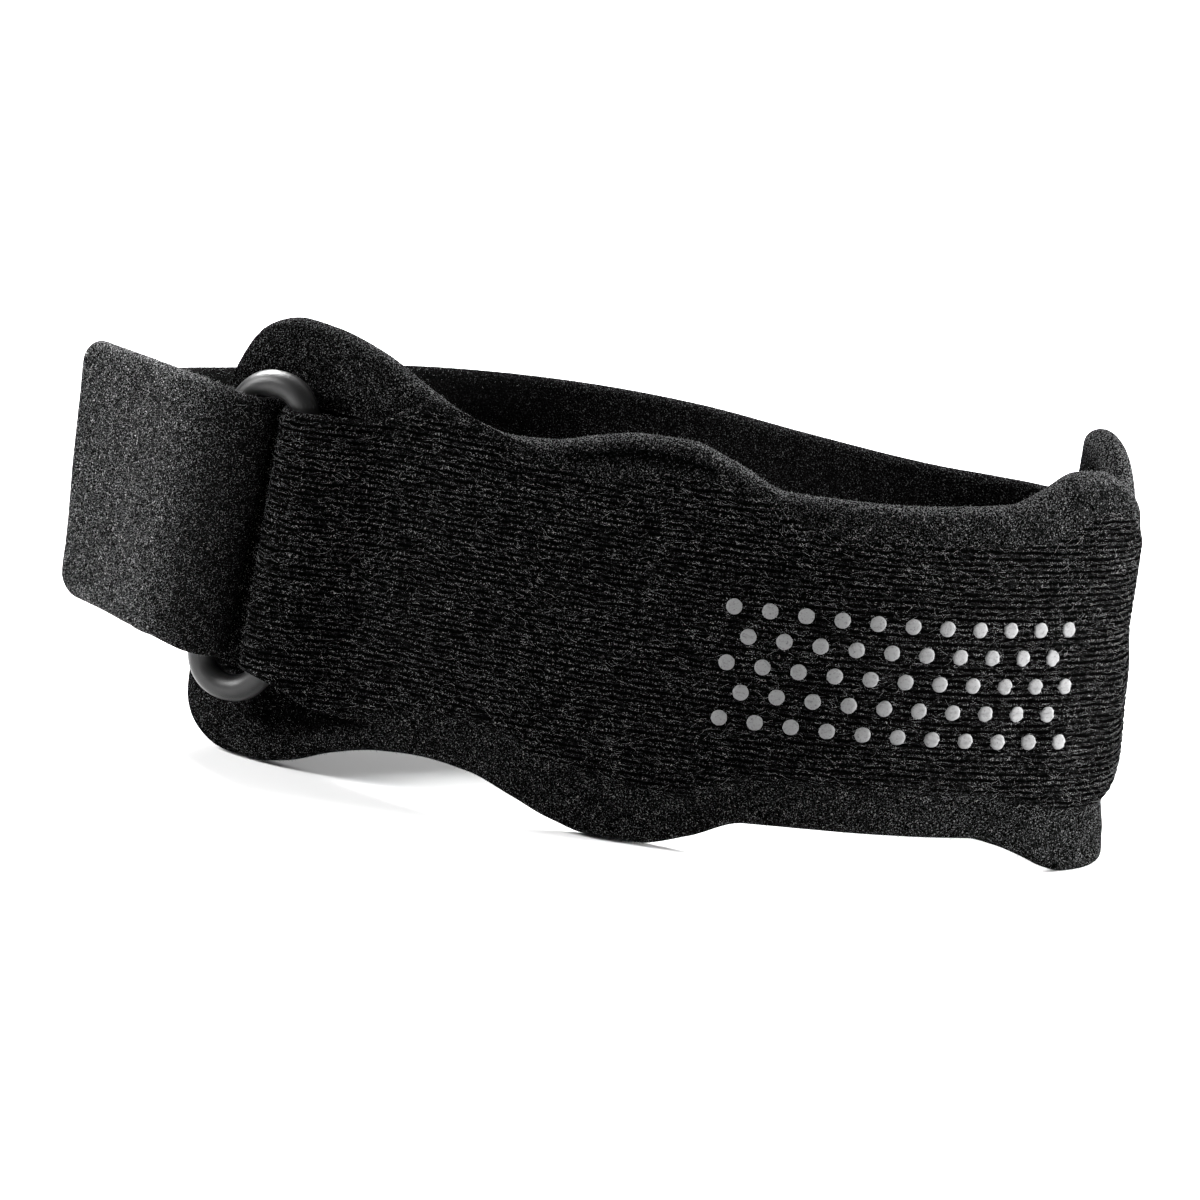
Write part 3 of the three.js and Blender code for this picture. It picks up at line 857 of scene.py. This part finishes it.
def make_ring(material):
    half_width = (RING_INNER_WIDTH + RING_TUBE) / 2 - RING_NARROWING
    half_length = (RING_INNER_LENGTH + RING_TUBE) / 2
    straight = half_length - RING_CORNER
    line = []
    for along, up, start in ((1, 1, 0), (-1, 1, 0.5), (-1, -1, 1), (1, -1, 1.5)):
        for turn in np.linspace(start * math.pi, (start + 0.5) * math.pi, 18):
            line.append((along * (half_width - RING_CORNER) + RING_CORNER * math.cos(turn),
                         up * straight + RING_CORNER * math.sin(turn)))
        if along != up:
            # A long side follows: down on the left, up on the right
            for t in np.linspace(0, 1, 24)[1:-1]:
                line.append((along * half_width, up * straight * (1 - 2 * t)))
    line = np.array(line)
    tangent = np.roll(line, -1, axis=0) - np.roll(line, 1, axis=0)
    tangent /= np.linalg.norm(tangent, axis=-1, keepdims=True)
    out = np.stack([tangent[:, 1], -tangent[:, 0]], axis=-1)
    spin = np.linspace(0, 2 * math.pi, RING_SIDES, endpoint=False)
    # A fine parting line round the outside of the moulding
    reach = RING_TUBE / 2 + PARTING_LINE * hump(np.minimum(spin, 2 * math.pi - spin), 0, 0.10)
    flat = line[:, None] + out[:, None] * (reach * np.cos(spin))[None, :, None]
    deep = np.broadcast_to(reach * np.sin(spin), flat.shape[:2])
    centre = (left_bar + right_bar) / 2
    through = np.array([ring_along[1], -ring_along[0]])
    plan = centre + flat[..., :1] * ring_along + deep[..., None] * through
    rings = np.concatenate([plan, (ring_middle + flat[..., 1])[..., None]], axis=-1)
    lean_over(rings, RING_LEAN)
    mesh = skin("oval_ring", rings, np.zeros_like(rings), is_loop=True)
    finish_piece(mesh, "oval_ring", material, ["ring"])


# Strap

def strap_route():
    start = pad_route.at(pad_length)
    leave = pad_route.along(pad_length)
    tucked = start - leave * STRAP_TUCK
    behind = left_bar - ring_along * (strap_wrap / 2)
    back = behind + np.array([-ring_along[1], ring_along[0]]) * strap_wrap
    first = start + leave * SEAT_GAP
    far = [(x * LOOP_WIDTH, y * LOOP_DEPTH) for x, y in STRAP_PLAN]
    far_line = centripetal([first, first + leave * STRAP_LEAD, *far, back])
    wrap = arc(left_bar, strap_wrap, ring_angle + math.pi / 2, ring_angle - math.pi / 2, 40)
    flap = [(left_bar[0] - x * FLAP_REACH, left_bar[1] + y * FLAP_REACH) for x, y in FLAP_PLAN]
    flap_line = centripetal([wrap[-1], *flap])
    route = Route(np.vstack([tucked[None], far_line, wrap, flap_line]))
    entry = Route(np.vstack([tucked[None], far_line])).length
    return route, entry, entry + math.pi * strap_wrap


def strap_middle(runs, entry, leave, total):
    """Height of the strap's middle line: it sags and lifts on its way, and settles in the free end."""
    at_pad = float(pad_middle(pad_length)) - STRAP_SAG_AT_PAD
    far_left = float(pad_middle(RING_STANDOFF)) - STRAP_SAG
    at_ring = ring_middle + STRAP_RISE_AT_RING
    bend_start = entry - STRAP_WIDTH
    settled = leave + (total - leave) * FLAP_SETTLES
    middle = np.where(runs < bend_start, at_pad + (far_left - at_pad) * runs / bend_start,
                      far_left + (at_ring - far_left) * smooth(runs, bend_start, entry))
    middle = middle + (ring_middle + FLAP_RISE - at_ring) * smooth(runs, entry, settled)
    middle = middle - FLAP_DROP * smooth(runs, settled, total)
    return middle + STRAP_LIFT * np.sin(math.pi * np.clip(runs / bend_start, 0, 1))


def make_strap(material):
    route, entry, leave = strap_route()
    total = route.length
    end = total - 1.6 * np.array([1, 0.72, 0.5, 0.33, 0.2, 0.1, 0.03, 0])
    runs = np.concatenate([np.linspace(0, entry - 3, 150), np.linspace(entry - 2.6, leave + 2, 44),
                           np.linspace(leave + 2.6, total - 2.2, 60), end])
    middle = strap_middle(runs, entry, leave, total)
    from_end = total - runs
    half = STRAP_WIDTH / 2 - corner_inset(from_end, STRAP_END_RADIUS)
    low, high = middle - half, middle + half
    heights = face_heights(low, high, STRAP_FACE_POINTS)
    under_top = high[:, None] - heights
    edge = np.minimum(heights - low[:, None], under_top)
    end_round = (0.25 + 0.75 * round_over(from_end, STRAP_END_SHOULDER))[:, None]
    body = STRAP_THICKNESS / 2 * end_round * round_over(edge, STRAP_SHOULDER)
    body = body * (1 + 0.10 * between(edge, (0.4, 1.6), (2.2, 5)))
    outer = place_rings(route, runs, body, heights)
    inner = place_rings(route, runs, -body, heights)
    rings = np.concatenate([outer, inner[:, ::-1]], axis=1)
    flat = np.stack([np.broadcast_to(runs[:, None], rings.shape[:2]), rings[..., 2],
                     np.zeros(rings.shape[:2])], -1)
    # The free end is soft and not quite flat
    loose = smooth(runs, leave, leave + 8)[:, None]
    wave = soft_noise(flat, (9, 13, 1), 21) * 0.32 * loose + soft_noise(flat, (22, 18, 1), 22) * 0.25
    wave = wave * (smooth(runs, 2, 12) * (1 - hump(runs, entry + 3, 8)))[:, None]
    rings[..., :2] += route.normal(runs, CLOTH_REACH)[:, None] * wave[..., None]
    lean_over(rings, (FOLD_LEAN * between(runs, (entry - 25, entry), (leave + 2, total - 4)))[:, None])
    # The finish reads painted shade inside the loop and in the fold, and a painted highlight along the
    # top edge
    lay = np.zeros_like(rings)
    inside = (0.04 + 0.90 * smooth(runs, 14, 110)) * (1 - smooth(runs, entry - 30, leave + 2))
    lay[..., 0] = np.maximum(inside, 0.80 * (1 - smooth(runs, leave + 2, leave + 12)))[:, None]
    lay[..., 1] = 0.7 * hump(np.concatenate([under_top, under_top[:, ::-1]], axis=1), 0, 0.7)
    piece = finish_piece(skin("plush_strap", rings, lay), "plush_strap", material, ["strap"])
    return rings, runs, leave


# Pile, loose fibres, seams and dots

def from_edges(rings):
    """Distance of a band's points from its lower or upper edge."""
    low = rings[..., 2].min(axis=1, keepdims=True)
    high = rings[..., 2].max(axis=1, keepdims=True)
    return np.minimum(rings[..., 2] - low, high - rings[..., 2])


def make_pile(name, material, rings, weight, count, length, width, seed):
    """Short standing pile, so that edges are soft against the light."""
    rng = np.random.default_rng(seed)
    roots, normals, _ = scatter(rings, weight, count, rng)
    tilt = rng.normal(size=(count, 3)) * 0.45
    curl = rng.normal(size=(count, 3)) * 0.25
    lengths = rng.uniform(0.55, 1.0, count) * length
    mesh = hairs(name, roots - normals * 0.06, normals + tilt, curl, lengths, width, 2)
    finish_piece(mesh, name, material)


def make_fibres(name, material, rings, weight, count, length, width, seed):
    """Loose fibres that lie over the cloth, mostly along it."""
    rng = np.random.default_rng(seed)
    roots, normals, along = scatter(rings, weight, count, rng)
    lean = (along * rng.choice([-1, 1], (count, 1)) + normals * 0.35 + rng.normal(size=(count, 3)) * 0.35)
    curl = rng.normal(size=(count, 3)) * 0.30 - normals * 0.22
    lengths = rng.uniform(0.4, 1.0, count) * length
    mesh = hairs(name, roots + normals * 0.02, lean, curl, lengths, width, 4)
    finish_piece(mesh, name, material)


def make_seams(material, knit_rings, distance):
    """Stitches across the pad's far end, where the strap is sewn in and the knit ends."""
    points, faces = [], []
    normals = outward(knit_rings)
    keep = slice(16, KNIT_FACE_POINTS - 16, 6)
    for before_end in SEAM_ROWS:
        station = int(np.argmin(np.abs(distance - (pad_length - before_end))))
        row, row_faces = stitch_row(knit_rings[station, keep], normals[station, keep])
        faces += [tuple(len(points) + v for v in face) for face in row_faces]
        points += row
    mesh = make_mesh("end_seams", np.array(points), faces)
    finish_piece(mesh, "end_seams", material)


def on_knit(outer, normals, distance, along, height):
    """Point and normal of the knit's face at a distance along the pad and a height."""
    at = np.interp(along, distance, np.arange(len(distance), dtype=float))
    i = int(at)
    u = at - i
    low, high = outer[:, 0, 2], outer[:, -1, 2]
    edge_low = low[i] + (low[i + 1] - low[i]) * u
    edge_high = high[i] + (high[i + 1] - high[i]) * u
    v = (height - edge_low) / (edge_high - edge_low) * (KNIT_FACE_POINTS - 1)
    j = int(v)
    v -= j
    corners = ((i, j, (1 - u) * (1 - v)), (i + 1, j, u * (1 - v)),
               (i, j + 1, (1 - u) * v), (i + 1, j + 1, u * v))
    return sum(outer[a, b] * w for a, b, w in corners), sum(normals[a, b] * w for a, b, w in corners)


def make_grip_dots(material, rings, distance):
    """Small raised dots printed on the knit, in staggered rows."""
    points, faces = [], []
    outer = rings[:, :KNIT_FACE_POINTS]
    normals = outward(rings)[:, :KNIT_FACE_POINTS]
    # A dot's profile from its middle outwards: share of its radius, and rise over the knit
    profile = ((0.12, 0.16), (0.35, 0.16), (0.6, 0.15), (0.8, 0.12), (0.93, 0.05), (1.0, -0.30))
    for row in range(DOT_ROWS):
        for column in range(DOT_COLUMNS - row % 2):
            along = DOT_START + (column + 0.5 * (row % 2)) * DOT_PITCH
            height = DOT_LOW + row * DOT_ROW_PITCH
            first = len(points)
            for reach, lift in profile:
                for turn in np.linspace(0, 2 * math.pi, DOT_SIDES, endpoint=False):
                    point, normal = on_knit(outer, normals, distance,
                                            along + DOT_RADIUS * reach * math.cos(turn),
                                            height + DOT_RADIUS * reach * math.sin(turn))
                    points.append(point + normal * lift)
            faces += tube_faces(first, len(profile), DOT_SIDES, turn=-1)
    mesh = make_mesh("grip_dots", np.array(points), faces)
    finish_piece(mesh, "grip_dots", material)


# The pieces
pile_tips = thread_finish("pile_fibre", dark=0.05, light=0.24)
strap_tips = thread_finish("strap_fibre", dark=0.06, light=0.25)
pad_rings, pad_face = make_pad(plush_finish("plush_border", dark=0.0014, light=0.042))
knit_rings, knit_distance = make_knit(knit_finish())
make_ring(ring_finish())
strap_rings, strap_runs, strap_leave = make_strap(plush_finish("brushed_strap", dark=0.0050, light=0.128))
make_seams(thread_finish("seam_thread", dark=0.006, light=0.030), knit_rings, knit_distance)
make_grip_dots(print_finish(), knit_rings, knit_distance)
hook = bpy.data.objects["hook_patch"]
hook.data.materials.clear()
hook.data.materials.append(hook_finish())

# Pile: all over the free end, and along the edges of the strap and of the pad
strap_edge = from_edges(strap_rings)
flap_weight = smooth(strap_runs, strap_leave - 4, strap_leave + 1)[:, None] * np.ones_like(strap_edge)
strap_weight = flap_weight + 0.8 * (1 - smooth(strap_edge, 0.5, 2.0)) + 0.02
make_pile("strap_pile", strap_tips, strap_rings, strap_weight,
          count=17000, length=0.55, width=0.050, seed=31)
on_outside = (np.arange(pad_rings.shape[1]) < pad_face)[None]
pad_weight = (1 - smooth(from_edges(pad_rings), 10, 16)) * np.where(on_outside, 1.0, 0.35)
make_pile("pad_pile", pile_tips, pad_rings, pad_weight,
          count=17000, length=0.42, width=0.045, seed=32)
knit_side = (np.arange(knit_rings.shape[1]) < KNIT_FACE_POINTS)[None] * np.ones((len(knit_rings), 1))
make_fibres("knit_fibres", pile_tips, knit_rings, knit_side,
            count=5600, length=1.5, width=0.036, seed=33)
make_fibres("strap_fibres", strap_tips, strap_rings, flap_weight,
            count=900, length=1.5, width=0.034, seed=34)


# Floor, light and camera

# The floor's left, right, near and far sides and its height, in metres
FLOOR_LEFT, FLOOR_RIGHT = -9, 9
FLOOR_NEAR, FLOOR_FAR = -6, 14
FLOOR_HEIGHT = -0.0002
# Soft lamps: name, place, aim, width, height and power
SOFTBOXES = [
    ("lamp_left", (-0.83, -0.22, 0.50), (0, 0, 0.03), 0.30, 0.34, 17),
    ("lamp_back", (-0.38, 0.47, 0.60), (-0.04, 0, 0.04), 0.46, 0.24, 25),
    ("lamp_right", (0.85, 0.06, 0.15), (0.05, 0, 0.03), 0.4, 0.2, 52),
]
WORLD_LIGHT = 0.12
# The photograph's view: 13 degrees down through a long lens, with the camera rolled a little
ELEVATION = math.radians(13)
ROLL = math.radians(7.5)
LENS = 150
SENSOR = 36
CAMERA_PLACE = np.array([0, -704.9, 198.45])


def floor_finish():
    f = Finish("pale_floor")
    cloud = f.noise(f.position(), 400.0, 2.0, 0.5)
    colour = f.blend(cloud, (0.86, 0.86, 0.86, 1), (0.90, 0.90, 0.90, 1))
    return f.surface(colour, 0.9, gloss=0.1)


def make_floor():
    mesh = bpy.data.meshes.new("floor")
    corners = [(FLOOR_LEFT, FLOOR_NEAR), (FLOOR_RIGHT, FLOOR_NEAR),
               (FLOOR_RIGHT, FLOOR_FAR), (FLOOR_LEFT, FLOOR_FAR)]
    mesh.from_pydata([(x, y, FLOOR_HEIGHT) for x, y in corners], [], [(0, 1, 2, 3)])
    mesh.materials.append(floor_finish())
    floor = bpy.data.objects.new("floor", mesh)
    bpy.context.scene.collection.objects.link(floor)


def make_lamp(name, kind, place, aim, power, **settings):
    """A lamp at its place, turned to its aim."""
    lamp = bpy.data.lights.new(name, kind)
    lamp.energy = power
    for key, value in settings.items():
        setattr(lamp, key, value)
    light = bpy.data.objects.new(name, lamp)
    light.location = place
    light.rotation_mode = "QUATERNION"
    light.rotation_quaternion = (Vector(aim) - Vector(place)).to_track_quat("-Z", "Y")
    bpy.context.scene.collection.objects.link(light)


def make_camera():
    lens = bpy.data.cameras.new("camera")
    lens.lens = LENS
    lens.sensor_width = SENSOR
    lens.clip_start = 0.05
    lens.clip_end = 60
    camera = bpy.data.objects.new("camera", lens)
    bpy.context.scene.collection.objects.link(camera)
    ahead = Vector((0, math.cos(ELEVATION), -math.sin(ELEVATION)))
    level = Vector((1, 0, 0))
    upright = Vector((0, math.sin(ELEVATION), math.cos(ELEVATION)))
    right = level * math.cos(ROLL) + upright * math.sin(ROLL)
    up = upright * math.cos(ROLL) - level * math.sin(ROLL)
    turn = Matrix((right, up, -ahead)).transposed()
    camera.matrix_world = Matrix.Translation(Vector((CAMERA_PLACE + LOOP_SHIFT) * MM)) @ turn.to_4x4()
    bpy.context.scene.camera = camera


make_floor()
for name, place, aim, width, height, power in SOFTBOXES:
    make_lamp(name, "AREA", place, aim, power, shape="RECTANGLE", size=width, size_y=height)
make_lamp("lamp_far_floor", "SPOT", (0.35, 2.1, 1.3), (0.35, 2.1, 0), 130,
          spot_size=math.radians(88), spot_blend=1.0, shadow_soft_size=0.2)
make_lamp("lamp_overhead", "SUN", (0, 0.55, 1), (0, 0, 0), 1.55, angle=math.radians(70))
world = bpy.data.worlds.new("studio")
world.use_nodes = True
background = world.node_tree.nodes["Background"]
background.inputs["Color"].default_value = (1, 1, 1, 1)
background.inputs["Strength"].default_value = WORLD_LIGHT
bpy.context.scene.world = world
bpy.context.scene.view_settings.view_transform = "Standard"
make_camera()
